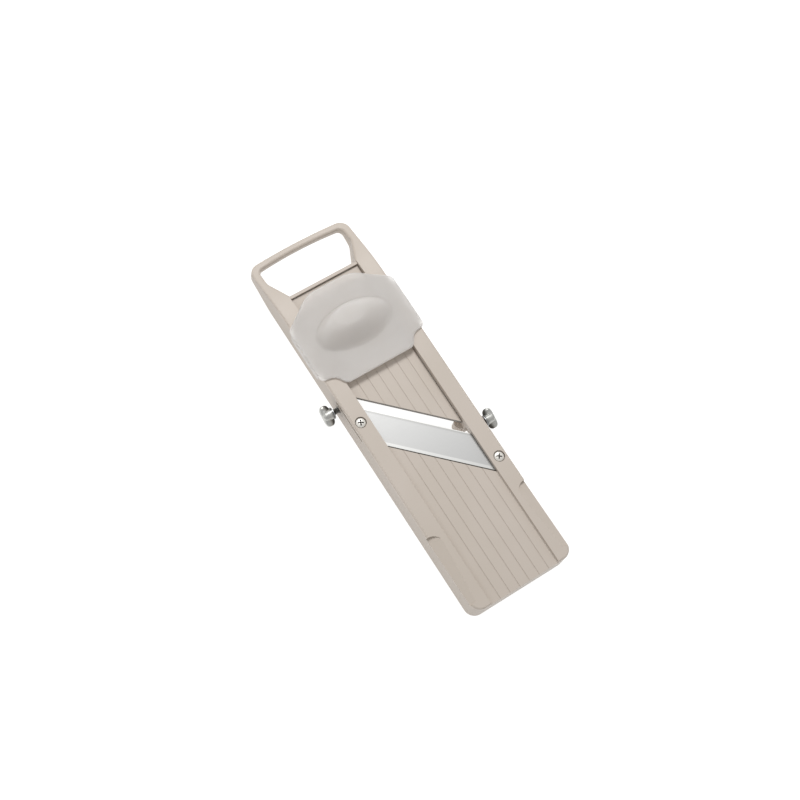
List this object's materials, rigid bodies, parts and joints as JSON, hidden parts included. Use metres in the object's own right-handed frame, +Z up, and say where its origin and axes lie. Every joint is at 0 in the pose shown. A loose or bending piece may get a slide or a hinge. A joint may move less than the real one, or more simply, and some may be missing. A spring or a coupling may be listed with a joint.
{
  "type": "mandoline slicer",
  "caption": "Hand-held mandoline slicer with a slanted fixed blade, a screw-set infeed plate, side wing screws, a handle loop and a sliding hand guard.",
  "frame": {"origin": "under the middle of the frame, on the plane it rests on", "axes": "+Y from the foot end to the handle, +X to the right rail seen from the foot, +Z up"},
  "size_m": [0.1181, 0.3276, 0.0432],
  "materials": {
    "frame": "satin moulded ABS, warm beige",
    "infeed_plate": "satin moulded ABS, warm beige",
    "hinge_pin": "drawn stainless steel",
    "blade": "ground and brushed stainless steel",
    "blade_screw": "nickel-plated steel",
    "nut": "zinc-plated steel",
    "thumb_stud": "threaded steel",
    "thumb_wing": "die-cast zinc, dull grey",
    "washer": "zinc-plated steel",
    "adjusting_rod": "threaded steel",
    "adjusting_knob": "moulded ABS, fluted",
    "adjusting_tip": "turned brass",
    "guard": "frosted translucent polypropylene"
  },
  "bodies": {
    "frame": {"frame": "frame", "hinge_pin": "hinge_pin", "blade": "blade", "blade_screw_left": "blade_screw", "blade_screw_right": "blade_screw", "blade_nut_left": "nut", "blade_nut_right": "nut", "thumb_nut_left": "nut", "thumb_nut_right": "nut", "adjusting_nut": "nut"},
    "plate": {"infeed_plate": "infeed_plate"},
    "adjusting_cap": {"adjusting_tip": "adjusting_tip"},
    "adjusting_screw": {"adjusting_rod": "adjusting_rod", "adjusting_knob": "adjusting_knob"},
    "thumb_washer_left": {"thumb_washer_left": "washer"},
    "thumb_screw_left": {"thumb_stud_left": "thumb_stud", "thumb_wing_left": "thumb_wing"},
    "thumb_washer_right": {"thumb_washer_right": "washer"},
    "thumb_screw_right": {"thumb_stud_right": "thumb_stud", "thumb_wing_right": "thumb_wing"},
    "guard": {"guard": "guard"}
  },
  "joints": [
    {"name": "adjusting_spin", "type": "hinge", "parent": "adjusting_cap", "child": "adjusting_screw", "pos_m": [0, 0.04, 0.005], "axis": [0, 0, -1], "range_deg": [-159, 812]},
    {"name": "adjusting_travel", "type": "slide", "parent": "frame", "child": "adjusting_cap", "axis": [0, 0, -1], "range_m": [-0.00035, 0.0018]},
    {"name": "plate_tilt", "type": "hinge", "parent": "frame", "child": "plate", "pos_m": [0, 0.1174, 0.0161], "axis": [1, 0, 0], "range_deg": [-0.27, 1.34]},
    {"name": "guard_slide", "type": "slide", "parent": "frame", "child": "guard", "axis": [0, -1, 0], "range_m": [-0.005, 0.185]},
    {"name": "thumb_travel_left", "type": "slide", "parent": "frame", "child": "thumb_washer_left", "axis": [-1, 0, 0], "range_m": [-0.004, 0.004]},
    {"name": "thumb_spin_left", "type": "hinge", "parent": "thumb_washer_left", "child": "thumb_screw_left", "pos_m": [-0.05, 0.0265, 0.012], "axis": [-1, 0, 0], "range_deg": [-1802, 1802]},
    {"name": "thumb_travel_right", "type": "slide", "parent": "frame", "child": "thumb_washer_right", "axis": [1, 0, 0], "range_m": [-0.003, 0.005]},
    {"name": "thumb_spin_right", "type": "hinge", "parent": "thumb_washer_right", "child": "thumb_screw_right", "pos_m": [0.0481, -0.0395, 0.012], "axis": [1, 0, 0], "range_deg": [-1352, 2252]}
  ],
  "couplings": [
    {"joint": "adjusting_spin", "follows": "adjusting_travel", "rad_per_m": 7854},
    {"joint": "plate_tilt", "follows": "adjusting_travel", "rad_per_m": 12.92},
    {"joint": "thumb_spin_left", "follows": "thumb_travel_left", "rad_per_m": 7854},
    {"joint": "thumb_spin_right", "follows": "thumb_travel_right", "rad_per_m": 7854}
  ]
}
